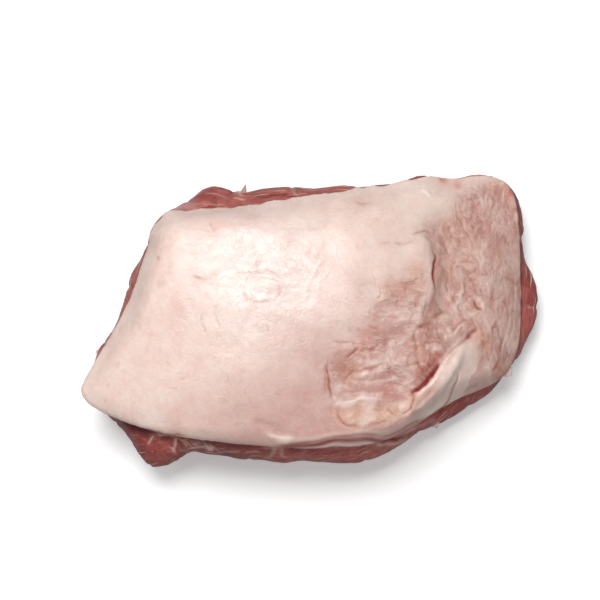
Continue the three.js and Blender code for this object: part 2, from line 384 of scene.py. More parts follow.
CREASE_DEPTH = 0.6  # shares of the depths and heights in these lists that are carved
RIDGE_HEIGHT = 0.75

# Thin layers along the flank's outer edge, one beyond the other.
EDGE_LAYERS = [
    [(111, 14), (110.5, 3), (110, -4), (108, -12), (106, -18), (104, -24)],
    [(114, 30), (114, 10), (113, -1), (112, -9), (109, -18), (106, -26)],
    [(118, 34), (118, 9), (117, -1), (116, -9), (113, -18)],
    [(121.5, 24), (121, 0), (119, -10)],
    [(120, 60), (119.5, 50), (119, 40)],
]

# Ridges standing up from the cap: line, height, width and how white they are.
RIDGES = [
    ([(11, -56), (16, -53.5), (21, -52), (27, -50.5), (33, -50), (40, -50.5)], 1.2, 1.9, 1.0),  # the lip
    ([(20, -39.5), (27, -37.5), (34, -36), (42, -34)], 0.5, 1.4, 0.45),
    ([(28, -41.5), (37, -41), (44, -39.5), (50, -39.5)], 0.4, 1.0, 0.5),
    ([(43, -4.5), (49, -3), (54, -4)], 0.4, 1.1, 0.5),
    ([(44, -9.5), (50, -7), (54, -9)], 0.4, 1.0, 0.5),
    ([(36, -1), (42, -3), (47, -2)], 0.3, 1.0, 0.4),
    ([(-27, -69), (-22, -70.5), (-16, -71), (-9, -70)], 0.8, 1.5, 0.9),  # lip of the dent
    ([(80, 16), (83, 14), (83.5, 11), (82, 9), (82, 6), (80, 4), (80, 1), (83, -3)], 0.9, 1.4, 0.75),
    ([(97, 3), (92, 0), (88, -2), (84, -6), (81, -10), (78, -14)], 1.4, 2.0, 0.55),
    ([(65, -8.5), (70, -6.5), (75, -4), (80, -3)], 0.9, 1.8, 0.45),
    ([(66, -14), (70, -11.5), (74, -10)], 0.8, 1.8, 0.55),
    ([(65, -22), (70, -22.5), (73, -21)], 0.6, 1.8, 0.55),
    ([(60, 68.5), (64, 66.5), (66, 64)], 0.7, 1.0, 0.9),
    ([(9, 30), (3, 21), (-3, 9), (-6, -5)], 0.25, 0.7, 0.25),
    ([(12, 24), (6, 14), (1, 5)], 0.2, 0.6, 0.2),
    (RING, 0.2, 0.7, 0.05),
    ([(-36, 15), (-31, 16), (-27, 15), (-27, 20), (-25, 24)], 0.25, 0.7, 0.05),
    ([(-53, 8), (-47, 12), (-42, 10), (-36, 15)], 0.25, 0.7, 0.05),
]

# Thin veins and threads of blood in the cap: line, width and how strongly they show.
VEINS = [
    ([(-28, 25), (-30, 21), (-31, 17), (-35, 14)], 0.8, 0.4),
    ([(-37, 14), (-37, 8), (-34, 2.5)], 0.5, 0.22),
    ([(-25, 15), (-19, 12), (-14, 9)], 0.5, 0.45),
    ([(-6, 23), (-3, 18), (-1, 15)], 0.5, 0.3),
    ([(-68, 17), (-64, 15), (-59, 13), (-54, 11.5)], 0.9, 0.35),
    ([(-75, 20), (-67, 19), (-59, 21)], 0.5, 0.22),
    ([(9, 41), (-4, 41.5), (-18, 42), (-35, 41)], 0.5, 0.2),
    ([(21, 61), (28, 58.5), (34, 59)], 0.9, 0.45),
    ([(-13, -53), (-8, -55), (-4, -58)], 0.5, 0.25),
    ([(-26, -28), (-21, -30)], 0.6, 0.3),
    ([(-11, -27), (-7, -25)], 0.8, 0.35),
    ([(-73, -41), (-69, -39.5)], 0.6, 0.3),
    ([(-80, -44), (-73, -45)], 0.7, 0.3),
    ([(-21, -47), (-18, -50)], 0.7, 0.32),
    ([(-57, 48), (-56, 43), (-54, 40)], 0.8, 0.3),
    ([(-56, 40), (-53, 42), (-51, 42)], 0.8, 0.4),
    ([(-43, 38), (-41, 34), (-43, 32)], 0.7, 0.25),
]

# Stains and tints, and a few spots of painted shade: centre, radius and strength.
BLUSHES = [
    ((73, 77), 2.4, 1.0), ((73, 75), 7.0, 0.3), ((82, 73), 2.6, 0.6), ((-65, 15), 4.5, 0.25),
    ((-75, 1), 7.0, 0.2), ((-85, 27), 1.0, 0.8), ((-53, 42), 6.0, 0.25), ((29, -23), 4.5, 0.4),
    ((27, -15), 4.5, 0.3), ((66, -28), 4.0, 0.5), ((61, -35), 3.5, 0.35), ((57, -41), 3.0, 0.3),
    ((62, -11), 0.8, 0.9), ((95, 22), 0.7, 0.75), ((96.8, 22), 0.7, 0.75), ((69, 24), 2.5, 0.45),
    ((63, -32), 2.5, 0.45), ((36, -50), 8.0, 0.2), ((42, -44), 7.0, 0.25), ((114, 72), 4.0, 0.35),
    ((70, -24), 4.0, 0.45),
]
BROWNS = [
    ((52, 12), 5.5, 0.6), ((57, 20), 4.5, 0.6), ((42, 8), 6.0, 0.35), ((78, 54), 9.0, 0.45),
    ((26, 60), 7.0, 0.35), ((-84, 12), 3.0, 0.4), ((24, -60), 8.0, 0.5), ((44, -59), 7.0, 0.45),
    ((96, -16), 5.0, 0.45), ((63, -46.5), 4.0, 0.7), ((116, 72), 5.0, 0.5), ((88, 30), 8.0, 0.2),
    ((35, -12), 5.0, 0.4), ((58, -22), 5.0, 0.3), ((84, 40), 8.0, 0.25), ((8, -70), 7.0, 0.35),
    ((-75, -66), 5.0, 0.3), ((57, -49), 3.5, 0.45), ((57, -31), 3.0, 0.4), ((104, -30), 4.0, 0.6),
    # The last one, in the hollow's dip, is painted shade.
    ((70, 16), 3.5, 0.4), ((104, 74), 4.0, 0.3), ((19, -36), 6.0, 0.7),
]
LILACS = [
    ((94, -28), 3.0, 0.55), ((97, -24), 3.0, 0.6), ((100, -19), 2.5, 0.5), ((88, -34), 8.0, 0.3),
    ((80, 42), 7.0, 0.3), ((34, -31), 8.0, 0.3), ((30, -44), 7.0, 0.35), ((86, 14), 6.0, 0.2),
    # These last three, over the hollow's dip and the plateau's lower right, are painted shade.
    ((16, -33), 6.0, 0.95), ((1, -26), 11.0, 0.4), ((-14, -18), 15.0, 0.42),
]
PALES = [
    ((98, -30), 2.8, 0.55), ((13.5, -45), 3.0, 0.5), ((77, -16), 4.0, 0.45), ((68, -21), 3.0, 0.4),
    ((52, 32), 6.0, 0.35), ((104, 20), 9.0, 0.3), ((108, -8), 8.0, 0.3), ((62, 66), 13.0, 0.6),
    ((76, 60), 8.0, 0.45), ((56, 50), 9.0, 0.35),
]

# Along the front right the edge is cut through thin layers: lean, fat and lean again.
EDGE_CUT = [
    (-22, -74.5), (-11, -74), (1, -73), (13, -71), (27, -69.5), (39, -69), (48, -65.5), (56, -61),
    (64, -56.5), (72, -51.5), (78, -47),
]


def zones(flat):
    """How far each point belongs to the hollow, the pocket under it, the flank, the flank's lobes, the calm
    rest and the flank's outer part, 0 to 1."""
    drifted = flat + 3 * drift(flat, 11, 13)
    outlines = ((HOLLOW, 6), (POCKET, 2), (FLANK, 5), (LOBES, 6))
    hollow, pocket, flank, lobes = (inside(drifted, outline, soft) for outline, soft in outlines)
    calm = 1 - np.maximum(np.maximum(hollow, pocket), flank)
    return hollow, pocket, flank, lobes, calm, step(flat[:, 0], 94, 112)


def draw(canvas, at, line, reach, run_in=0.3):
    """Starts a line over the cap: the points near it, their distance, signed distance and place along it,
    and a function that adds to their masks, less and less towards the line's two ends."""
    near, distance, signed, along = beside(at, line, reach)
    ends = taper(along, run_in)

    def add(**marks):
        for name, mark in marks.items():
            canvas[name][near] += ends * mark

    return near, distance, signed, along, add


def carve_lines(canvas, bent, width):
    """Cuts the creases, raises the ridges and marks the veins, each with its colour."""
    for line, depth, thickness, redness in CREASES:
        near, distance, _, _, add = draw(canvas, bent, line, 8)
        across = thickness * width[near]
        shoulder = bump(distance - 2.3 * across, 1.3 * across)
        add(rise=CREASE_DEPTH * depth * (0.3 * shoulder - bump(distance, across)),
            crease=redness * bump(distance, 0.7 * across),
            brown=0.3 * redness * bump(distance, 2.5 * across))
    for line, height, thickness, whiteness in RIDGES:
        near, distance, _, _, add = draw(canvas, bent, line, 9)
        across = thickness * width[near]
        add(rise=RIDGE_HEIGHT * height * bump(distance, across),
            white=whiteness * bump(distance, 0.9 * across))
    for line, thickness, strength in VEINS:
        near, distance, _, _, add = draw(canvas, bent, line, 4)
        mark = strength * bump(distance, thickness * width[near])
        add(vein=mark, rise=-0.2 * mark)
    for line in EDGE_LAYERS:
        near, _, signed, _, add = draw(canvas, bent, line, 5)
        shown = step(width[near], 0.6, 1.1)
        add(rise=0.12 * shown * (bump(signed - 0.7, 0.7) - bump(signed + 0.4, 0.6)),
            crease=0.2 * shown * bump(signed + 0.4, 0.5), white=0.35 * shown * bump(signed - 0.7, 0.6))


def ribs(along, length, size, seed):
    """Fine ribs across a line, -1 to 1: noise that changes only along the line, with size between ribs."""
    return waves(np.stack([along * length, 0 * along, 0 * along], 1), size, seed)


def carve_folds(canvas, bent):
    """The crest and its slit, the deep cut with its ribbed red wall, and the fold's two ridges beside it."""
    _, _, signed, _, add = draw(canvas, bent, CREST, 16, 0.12)
    drop = step(signed, 0, 3.0) * bump(np.maximum(signed, 0), 8)  # the flank lies on the line's left
    # On the flank side of the crest, the brown and crease tones paint the shadow below its step.
    add(rise=0.4 * bump(signed + 1.6, 1.8) - 0.2 * drop + 0.9 * bump(signed - 4.5, 3.0),
        white=0.5 * bump(signed + 1.2, 1.7), brown=0.25 * bump(signed - 2.2, 2.2),
        crease=0.25 * bump(signed - 1.2, 0.9))
    _, distance, _, _, add = draw(canvas, bent, SLIT, 6)
    add(rise=-1.5 * bump(distance, 0.9), crease=0.9 * bump(distance, 0.9), blood=0.35 * bump(distance, 0.6))

    _, distance, signed, along, add = draw(canvas, bent, DEEP_CUT, 12, 0.22)
    wall = step(signed, 0.2, 1.5) * bump(np.maximum(signed - 1, 0), 3.2)  # up and left of the cut
    rib = ribs(along, 30, 1.7, 52)
    add(rise=-2.6 * bump(distance, 0.9) - wall * (0.4 + 0.35 * rib),
        crease=1.3 * bump(distance, 1.0) + wall * (0.22 + 0.45 * rib),
        blood=1.1 * bump(distance, 0.9) + 0.35 * wall * step(rib, 0.0, 0.6))
    _, distance, signed, along, add = draw(canvas, bent, CUT_TAIL, 8)
    wall = step(signed, 0.2, 1.2) * bump(np.maximum(signed - 1, 0), 3.5) * (1 - along)
    rib = ribs(along, 28, 1.8, 53)
    add(rise=-1.0 * bump(distance, 1.3) - 0.25 * wall * (1 + rib),
        crease=0.6 * bump(distance, 0.9) + 0.3 * wall * (0.6 + rib))

    _, distance, _, along, add = draw(canvas, bent, FOLD_LIP, 9, 0.2)
    rib = ribs(along, 55, 1.7, 54)
    add(rise=bump(distance, 1.5) * (1.3 + 0.3 * rib), white=bump(distance, 1.4) * (0.9 + 0.3 * rib),
        wet=bump(distance, 2.2))
    _, distance, signed, _, add = draw(canvas, bent, SECOND_RIDGE, 12, 0.2)
    # Beyond the second ridge the fold's outer face sinks a little, and the white tone paints it paler:
    # painted light on a face turned from the key light.
    outside = step(-signed, 1, 4)
    add(rise=1.6 * bump(distance, 2.8) - 0.5 * outside * bump(distance, 7),
        white=0.7 * bump(distance, 3.0) + 0.6 * outside)


def carve_edge_cut(canvas, flat):
    """The layered edge along the front right, from the top down: fat, dark lean, fat, lean and fat."""
    _, _, signed, along, add = draw(canvas, flat, EDGE_CUT, 14, 0.08)
    streaks = waves(np.stack([along * 12, -signed, 0 * along], 1), 1.2, 88)
    out = -signed + 0.4 * ribs(along, 100, 12, 87)  # how far below the top
    spread = 0.4 + 0.6 * step(along, 0.05, 0.45)  # the layers fan out to the right
    above, top = 0.3 * bump(out + 1.4, 1.2), bump(out, 0.45)
    first, second = bump(out - 2.0 * spread, 0.8), bump(out - 5.0 * spread, 0.6)
    add(rise=above - 0.2 * top - 0.5 * first - 0.4 * second,
        meat=np.clip(1.1 * first + second + 0.5 * streaks * (first + second), 0, 1),
        crease=0.6 * top * step(streaks, -0.8, 0.2), blush=0.35 * bump(out - 0.9, 0.8),
        white=above + bump(out - 3.6 * spread, 0.8) * (0.7 + 0.4 * streaks))


def carve_skin(canvas, flat, bent, rim, zone):
    """The cap's own unevenness: finely crinkled on the plateau, lumpy on the flank and in the hollow."""
    hollow, pocket, flank, lobes, calm, outer = zone
    # Where the key light's highlight falls on the plateau: crinkled in relief here, and the mask made from
    # it also whitens the fat there, a painted highlight.
    shiny = calm * (0.15 + 0.85 * bump(np.hypot(flat[:, 0] + 24, flat[:, 1] - 16), 36))
    upright = flat * (1, 0.4, 1)  # the plateau's crinkles run from front to back
    rise = 0.3 * rough(flat, 24, 2, 1) + 0.1 * calm * rough(flat, 7, 2, 5)
    rise += shiny * 0.09 * waves(upright + 0.4 * rough(flat, 12, 2, 7)[:, None], 2.7, 8)
    rise += shiny * 0.11 * wrinkles(flat * (1, 0.8, 1), 5.5, 2, 9)

    end = outer[:, None]
    skin = bent * (1, 0.8, 1) * (1 - end) + bent * (1, 0.6, 1) * end
    grooves, fine = wrinkles(skin, 6.5, 2, 31), wrinkles(bent * (1, 0.85, 1), 3.6, 1, 34)
    rise += flank * (1 - 0.6 * outer) * (0.5 * rough(skin, 10, 3, 35) + 0.35 * grooves)
    rise += (flank + 0.8 * hollow) * 0.22 * fine
    rise += lobes * (0.75 * waves(bent, 7.5, 36) + 0.45 * wrinkles(bent, 6, 2, 37))
    rise += hollow * 0.45 * rough(bent * (0.7, 1, 1), 9, 3, 45)
    rise += hollow * 0.2 * wrinkles(flat * (0.7, 1, 1), 4.0, 2, 41)
    rise += (hollow + flank + pocket) * 0.09 * rough(flat, 2.2, 2, 39)
    rise += pocket * (-0.6 + 0.35 * rough(bent, 7, 3, 47))
    canvas["rise"] += rise * step(rim, 1, 7)
    canvas["crinkle_and_sheen"] += shiny
    broad, narrow = step(rough(flat, 11, 2, 33), -0.3, 0.5), step(rough(flat, 9, 2, 38), -0.1, 0.5)
    canvas["crease"] += flank * 0.34 * step(-grooves, 0.65, 1.15) * broad
    canvas["crease"] += (flank + hollow) * 0.17 * step(-fine, 0.6, 1.0) * narrow


def stain_cap(canvas, flat, bent, width, zone):
    """Blood, brown, lilac and pale stains, painted shade towards the plateau's front and in the hollow's
    dip, and where the thin membranes show.
    """
    hollow, pocket, flank, _, calm, _ = zone
    for name, stains in {"blush": BLUSHES, "brown": BROWNS, "lilac": LILACS, "white": PALES}.items():
        for centre, radius, strength in stains:
            away = np.hypot(*(bent[:, :2] - centre).T)
            canvas[name] += strength * bump(away, radius * width)
    front_right_shade = calm * step(flat[:, 0] - 0.9 * flat[:, 1], -35, 75)  # painted shade, darker towards the front right
    front_left_shade = step(-flat[:, 1], 20, 62) * step(flat[:, 0], -95, -25)
    canvas["lilac"] += hollow * step(rough(bent * (0.7, 1, 1), 12, 3, 71), -1.2, 0.4)
    canvas["lilac"] += flank * (0.34 + 0.8 * step(rough(bent * (1, 0.7, 1), 12, 3, 75), -0.9, 0.8))
    # Both front masks are painted shade: the lilac tone darkens the plateau's front, which faces away from
    # the key light.
    canvas["lilac"] += 0.45 * front_right_shade + 0.6 * calm * front_left_shade
    canvas["lilac"] += 0.14 * calm * step(rough(flat, 18, 3, 78), -0.1, 0.7)
    canvas["brown"] += 0.55 * pocket * step(rough(bent, 8, 3, 72), -0.6, 0.4)
    canvas["brown"] += 0.35 * flank * step(rough(bent, 13, 3, 73), -0.2, 0.6)
    flecks = step(rough(bent * (1, 0.8, 1), 5, 3, 79), 0.35, 1.0)
    canvas["blush"] += 0.16 * flecks * (calm * step(-flat[:, 1], -5, 30) + 0.8 * hollow + 0.6 * flank)
    canvas["blush"] += 0.09 * flank
    shaded_dip = bump(np.hypot(bent[:, 0] - 18, bent[:, 1] + 34), 7)  # the dip in the hollow's left part, carved deeper and darkened with painted shade
    canvas["crease"] += 0.26 * shaded_dip
    canvas["rise"] -= 0.9 * shaded_dip
    canvas["membrane"] += np.maximum(hollow, 0.8 * flank) + 0.7 * pocket + 0.2 * calm + 0.15 * front_right_shade


def carve_cap(at, rim):
    """How far the cap's top stands up or sinks at each point, in millimetres, with the masks of its colours,
    and its places drawn together along the way that its fibres run."""
    flat = at * (1, 1, 0)
    bent = flat + drift(flat, 9, 21) + 0.5 * drift(flat, 4, 23)
    width = 1 + 0.4 * waves(flat, 6, 61)
    canvas = {name: np.zeros(len(at)) for name in MASKS}
    zone = zones(flat)
    carve_skin(canvas, flat, bent, rim, zone)
    carve_folds(canvas, bent)
    carve_lines(canvas, bent, width)
    carve_edge_cut(canvas, flat)
    stain_cap(canvas, flat, bent, width, zone)
    hollow, pocket, flank, _, _, outer = zone
    sideways = step(hollow + pocket - flank, -0.1, 0.1)[:, None]
    lengthways = np.stack([1 + 0 * outer, 0.9 - 0.35 * outer, 0.9 - 0.3 * outer], 1)
    return canvas, at * (sideways * (0.55, 1, 1) + (1 - sideways) * lengthways)


def make_cap():
    """The fat cap's surface, with its relief and the masks that its finish reads."""
    cap = even_faces(weld("fat_cap", "fat_cap_surface"), CAP_FACE)
    thin_out(cap, np.where(facing(cap)[:, 2] < CAP_UNDERSIDE, 1.0, 0.0), CAP_KEPT)
    at, outward = places(cap), facing(cap)
    rim = edge_distance(at, outward)
    upness = step(outward[:, 2], 0.05, 0.5)
    canvas, flow = carve_cap(at, rim)
    square = 0.5 + 1.3 * step(-at[:, 1] - 0.4 * at[:, 0], 0, 40)  # the edge is squarest at the front left
    rise = canvas.pop("rise") * upness + square * bump(rim, 3.0) * step(outward[:, 2], 0.02, 0.4)
    way = outward * 0.5 + np.array([0, 0, 0.5])
    way /= np.linalg.norm(way, axis=1)[:, None]

    # The edge is cut straight along the front and the left, and thins out unevenly at the back.
    at_back = step(at[:, 1] - 0.1 * at[:, 0], 40, 58) * (1 - step(at[:, 0], 50, 70))
    plan = outward * (1, 1, 0)
    near_rim = bump(rim, 4) * step(outward[:, 2], -0.9, -0.2)
    ragged = near_rim * ((0.35 + at_back) * rough(at * (1, 1, 0), 10, 3, 81) + 0.12 * waves(at, 2.5, 82))
    place(cap, at + way * rise[:, None] + plan * ragged[:, None])

    canvas["brown"] += 0.35 * (1 - upness) * step(-outward[:, 2], -0.45, -0.1)
    paint(cap, flow=flow * MM, **{name: np.clip(mask, 0, 1) for name, mask in canvas.items()})
    return cap


# ---- The lean ----

LEAN_FACE = 0.85 * MM
LEAN_KEPT = 0.6
LIFT_UNDER_FAT = 1.2  # how far the lean's hidden top is raised into the fat, in millimetres
DEPTH_UNDER_FAT = 1.8 * MM  # how far below a hidden point the look up to the fat starts
FAT_WITHIN = 0.05

# The muscles round the sides: a point inside each, the way its fibres run, and how light its meat is.
MUSCLES = [
    ((-85, -70, 20), (0.5, -0.2, 0.9), -0.1), ((-50, -70, 30), (0.9, 0, 0.35), -0.15),
    ((-25, -72, 14), (0.95, 0, -0.2), 0.0), ((10, -74, 28), (0.9, 0, 0.5), 0.05),
    ((45, -72, 16), (1, 0, 0.1), 0.1), ((75, -55, 20), (0.8, 0.5, 0.2), -0.05),
    ((105, -38, 12), (0.6, 0.8, 0.1), 0.0), ((122, -5, 15), (0.1, 1, 0.3), 0.1),
    ((126, 25, 14), (-0.1, 1, -0.3), -0.05), ((118, 70, 18), (-0.6, 0.8, 0.2), 0.0),
    ((85, 84, 24), (1, 0, 0.15), 0.1), ((45, 80, 30), (0.9, 0, -0.4), -0.05),
    ((5, 78, 26), (1, 0, 0.25), 0.05), ((-30, 76, 34), (0.95, 0.1, -0.15), 0.1),
    ((-58, 76, 22), (0.9, 0.1, 0.4), 0.0), ((-88, 58, 26), (0.5, 0.8, 0.2), 0.15),
    ((-98, 30, 22), (0.25, 0.95, 0.2), 0.1), ((-108, 0, 26), (0.4, 0.9, -0.1), 0.2),
    ((-120, -28, 18), (0.4, 0.9, 0.3), 0.05), ((-60, -20, 0), (1, 0.2, 0), 0.0),
    ((0, 20, 0), (0.9, 0.5, 0), 0.1), ((20, -30, 0), (1, -0.3, 0), -0.05),
    ((70, 30, 0), (0.7, 0.7, 0), 0.0), ((-40, 30, 0), (1, 0.1, 0), 0.05),
    ((80, -20, 0), (0.9, 0.1, 0), 0.1),
]
GRAIN_STRETCH = 9  # how much longer than wide the fibres are


def find_muscles(at):
    """For each point: its muscle, and how far in millimetres it is from the next one."""
    bent = at + 5 * drift(at, 16, 90, 3)
    centres = np.array([m[0] for m in MUSCLES], float)
    away = np.stack([np.linalg.norm(bent - c, axis=1) for c in centres], 1)
    order = np.sort(away, axis=1)
    return away.argmin(1), (order[:, 1] - order[:, 0]) / 2


# Lines drawn on the lean where it shows: line, width and strength.
LEAN_SEAMS = [
    ([(-87, -67.5), (-89, -69), (-91, -71.5), (-92, -74)], 0.7, 0.9),
    ([(-88, -67.5), (-84, -68), (-80, -68.5), (-75, -69)], 0.7, 0.9),
    ([(-76, -69), (-76, -72), (-77, -75), (-78, -79)], 0.7, 0.8),
    ([(-75, -69), (-72, -72), (-69, -75.5)], 0.5, 0.7), ([(-73, -70), (-69, -73), (-64, -75.5)], 0.5, 0.6),
    ([(-61, -71.5), (-58, -74), (-55, -76.5)], 0.5, 0.8),
    ([(-58, -72.5), (-54, -75), (-51, -76.5)], 0.4, 0.6), ([(-80, -74), (-77, -76), (-76, -79)], 0.5, 0.8),
    ([(-69, -71.5), (-65, -73), (-62, -75.5)], 0.4, 0.6),
    ([(-59.5, -76), (-57, -75), (-55, -75)], 1.2, 0.8),
    ([(-73, -78.5), (-69, -77.5), (-66, -77)], 0.5, 0.5), ([(-53, -76), (-45, -77), (-39, -77)], 0.5, 0.5),
    ([(-39, -78), (-33, -77), (-28, -78)], 0.5, 0.5), ([(-29, -76), (-23, -76), (-17, -76)], 1.0, 0.4),
    ([(-45, 72), (-41.5, 70), (-39.5, 67)], 0.9, 0.9), ([(-46, 66), (-43, 66), (-37, 64.5)], 0.7, 0.8),
    ([(-63, 71), (-53, 69), (-47, 67)], 0.5, 0.5), ([(-71, 64), (-61, 63), (-53, 62), (-45, 61)], 0.5, 0.5),
    ([(-35, 70), (-25, 71), (-12, 70)], 0.4, 0.5), ([(-8, 71), (4, 71), (16, 72)], 0.4, 0.4),
    ([(65, -67), (68, -66), (71, -63)], 1.0, 0.7),
    ([(16, -71), (31, -68.6), (45, -67.4), (58, -63), (67, -57.7)], 1.0, 0.9),
    ([(31, -73.2), (45, -72), (54, -68.6), (62, -66)], 0.7, 0.8),
    ([(-106, -5), (-108, -12), (-112, -20)], 0.5, 0.5),
]
LEAN_DARKS = [
    ([(-110, -60), (-103, -62), (-97, -64.5), (-91, -66.5), (-87, -68)], 2.6, 0.95),
    ([(-85, -69.5), (-81, -70), (-77.5, -70.5)], 1.5, 0.8),
    # This line, along under the fat's front edge, is painted shade.
    ([(-73, -70), (-60, -71.5), (-45, -73), (-25, -74.5)], 1.4, 0.6),
    ([(-37, 67), (-29, 67), (-19, 68), (-11, 67), (-3, 68)], 1.0, 0.8),
    ([(-50, 69), (-46, 70), (-44, 74)], 1.2, 0.9), ([(-16, -76), (-12, -76.5), (-6, -76)], 1.6, 0.8),
    ([(28, -72), (35, -70.9), (45, -70.3), (56, -66.3)], 0.8, 0.9),
    ([(60, -67), (70, -63.4), (79, -60)], 0.9, 0.6),
]


def under_cover(at, outward, cover):
    """1 where a point's upper side lies right under the cover, else 0."""
    up = Vector((0, 0, 1))
    covered = np.zeros(len(at))
    for k in np.flatnonzero(outward[:, 2] > 0.3):
        covered[k] = cover.ray_cast(Vector(at[k] * MM) - up * DEPTH_UNDER_FAT, up, FAT_WITHIN)[0] is not None
    return covered


def make_lean():
    """The lean's surface, with its muscles, seams and fibres, and the masks that its finish reads."""
    lean = even_faces(weld("lean_meat", "lean_meat_surface"), LEAN_FACE)
    at, outward = places(lean), facing(lean)
    cover = surface_of(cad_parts["fat_cap"].data)
    covered = under_cover(at, outward, cover)
    underside = step(-outward[:, 2], 0.7, 0.95) * 0.6
    at[:, 2] += covered * LIFT_UNDER_FAT
    place(lean, at)
    thin_out(lean, np.maximum(covered, underside), LEAN_KEPT)

    at, outward = places(lean), facing(lean)
    muscle, gap = find_muscles(at)
    ways = np.array([m[1] for m in MUSCLES], float)
    ways /= np.linalg.norm(ways, axis=1)[:, None]
    way = ways[muscle]
    tint = np.array([m[2] for m in MUSCLES])[muscle]
    curled = at + 2.5 * drift(at, 12, 121, 3)
    along = np.einsum("ij,ij->i", curled, way)[:, None] * way
    grain = curled - along * (1 - 1 / GRAIN_STRETCH)
    lifted = step(at[:, 2], 1.5, 6)
    patchy = step(rough(at, 18, 2, 118), -0.4, 0.4)
    seam = bump(gap, 0.55 + 0.9 * step(rough(at, 14, 2, 119), 0.3, 0.9)) * patchy

    dark, seams = np.zeros(len(at)), np.zeros(len(at))
    bent = at + 0.6 * drift(at, 5, 131)
    shown = step(at[:, 2], 8, 16)
    for target, lines in ((seams, LEAN_SEAMS), (dark, LEAN_DARKS)):
        for line, thickness, strength in lines:
            near, distance, _, share = beside(bent, line, 6)
            target[near] += taper(share, 0.3) * strength * bump(distance, thickness) * shown[near]

    rise = 0.34 * rough(grain, 3.4, 2, 101) + 0.55 * rough(at, 14, 2, 105) - 0.7 * bump(gap, 1.5)
    rise += 0.14 * waves(grain, 1.5, 108) + 0.15 * seams - 0.5 * dark
    rise *= lifted
    place(lean, at + outward * rise[:, None])

    film = step(rough(at, 22, 3, 111), 0.45, 0.75) * 0.5
    back_left = bump(np.linalg.norm((at - (-76, 64, 40)) / (8, 5, 8), axis=1), 1)
    film = np.maximum(film, back_left)
    open_side = 1 - under_cover(at, outward, cover)
    strands = lifted * open_side * (0.15 + 0.85 * step(rough(at, 20, 2, 116), -0.1, 0.7))
    paint(lean, grain=grain * MM, way=way, seam=np.clip(0.8 * seam + seams, 0, 1), film=np.clip(film, 0, 1),
          tint=tint, dark=np.clip(dark, 0, 1), strands=np.clip(strands, 0, 1))
    return lean


# ---- Loose ends of membrane ----

# Each flap: where it is rooted, the way it points, how far it stands out and how wide it is, in millimetres,
# and how pointed its tip is.
FLAPS = [
    ((-39, 77, 36), (0.2, 0.9, 0.5), 6.5, 7.0, 1.1), ((113, -32, 24), (0.8, -0.6, -0.1), 5.5, 11.0, 0.4),
    ((-125, -18, 25), (-0.9, 0.3, 0.3), 3.5, 6.0, 0.9), ((71, -62, 20), (0.5, -0.85, 0.1), 4.5, 8.0, 0.4),
]
FLAP_ROWS, FLAP_COLUMNS = 8, 12
FLAP_THICKNESS = 0.35
FLAP_ROOT = 1.5  # how deep in the meat a flap starts


def make_flaps(over):
    """Thin ragged flaps that stand out from the roast's edge, each a closed sheet rooted in a piece."""
    surfaces = [surface_of(piece.data) for piece in over]
    points, faces = [], []
    for number, (root, way, reach, wide, point) in enumerate(FLAPS):
        near = min((s.find_nearest(Vector(root) * MM) for s in surfaces), key=lambda found: found[3])[0]
        way = Vector(way).normalized()
        sideways = way.cross(Vector((0, 0, 1))).normalized()
        first = len(points)
        for row in range(FLAP_ROWS + 1):
            share = row / FLAP_ROWS
            for column in range(FLAP_COLUMNS + 1):
                across = 2 * column / FLAP_COLUMNS - 1
                ragged = (1 - abs(across)) ** point * (0.92 + 0.08 * math.sin(9 * across + 2 * number))
                out = share * reach * ragged - FLAP_ROOT
                lift = 0.7 * share * math.sin(4 * across + 3 * share + number)
                spot = way * out + sideways * across * wide / 2 * (1 - 0.35 * share) + Vector((0, 0, lift))
                points.append(near + spot * MM)
        for row in range(FLAP_ROWS):
            for column in range(FLAP_COLUMNS):
                corner = first + row * (FLAP_COLUMNS + 1) + column
                faces.append((corner, corner + 1, corner + FLAP_COLUMNS + 2, corner + FLAP_COLUMNS + 1))
    mesh = bpy.data.meshes.new("membrane_flaps")
    mesh.from_pydata(points, [], faces)
    flaps = new_object("membrane_flaps", mesh)
    solid = flaps.modifiers.new("thickness", "SOLIDIFY")
    solid.thickness = FLAP_THICKNESS * MM
    solid.offset = 0
    settle(flaps)
    flaps.data.shade_smooth()
    return flaps


# ---- Finishes ----


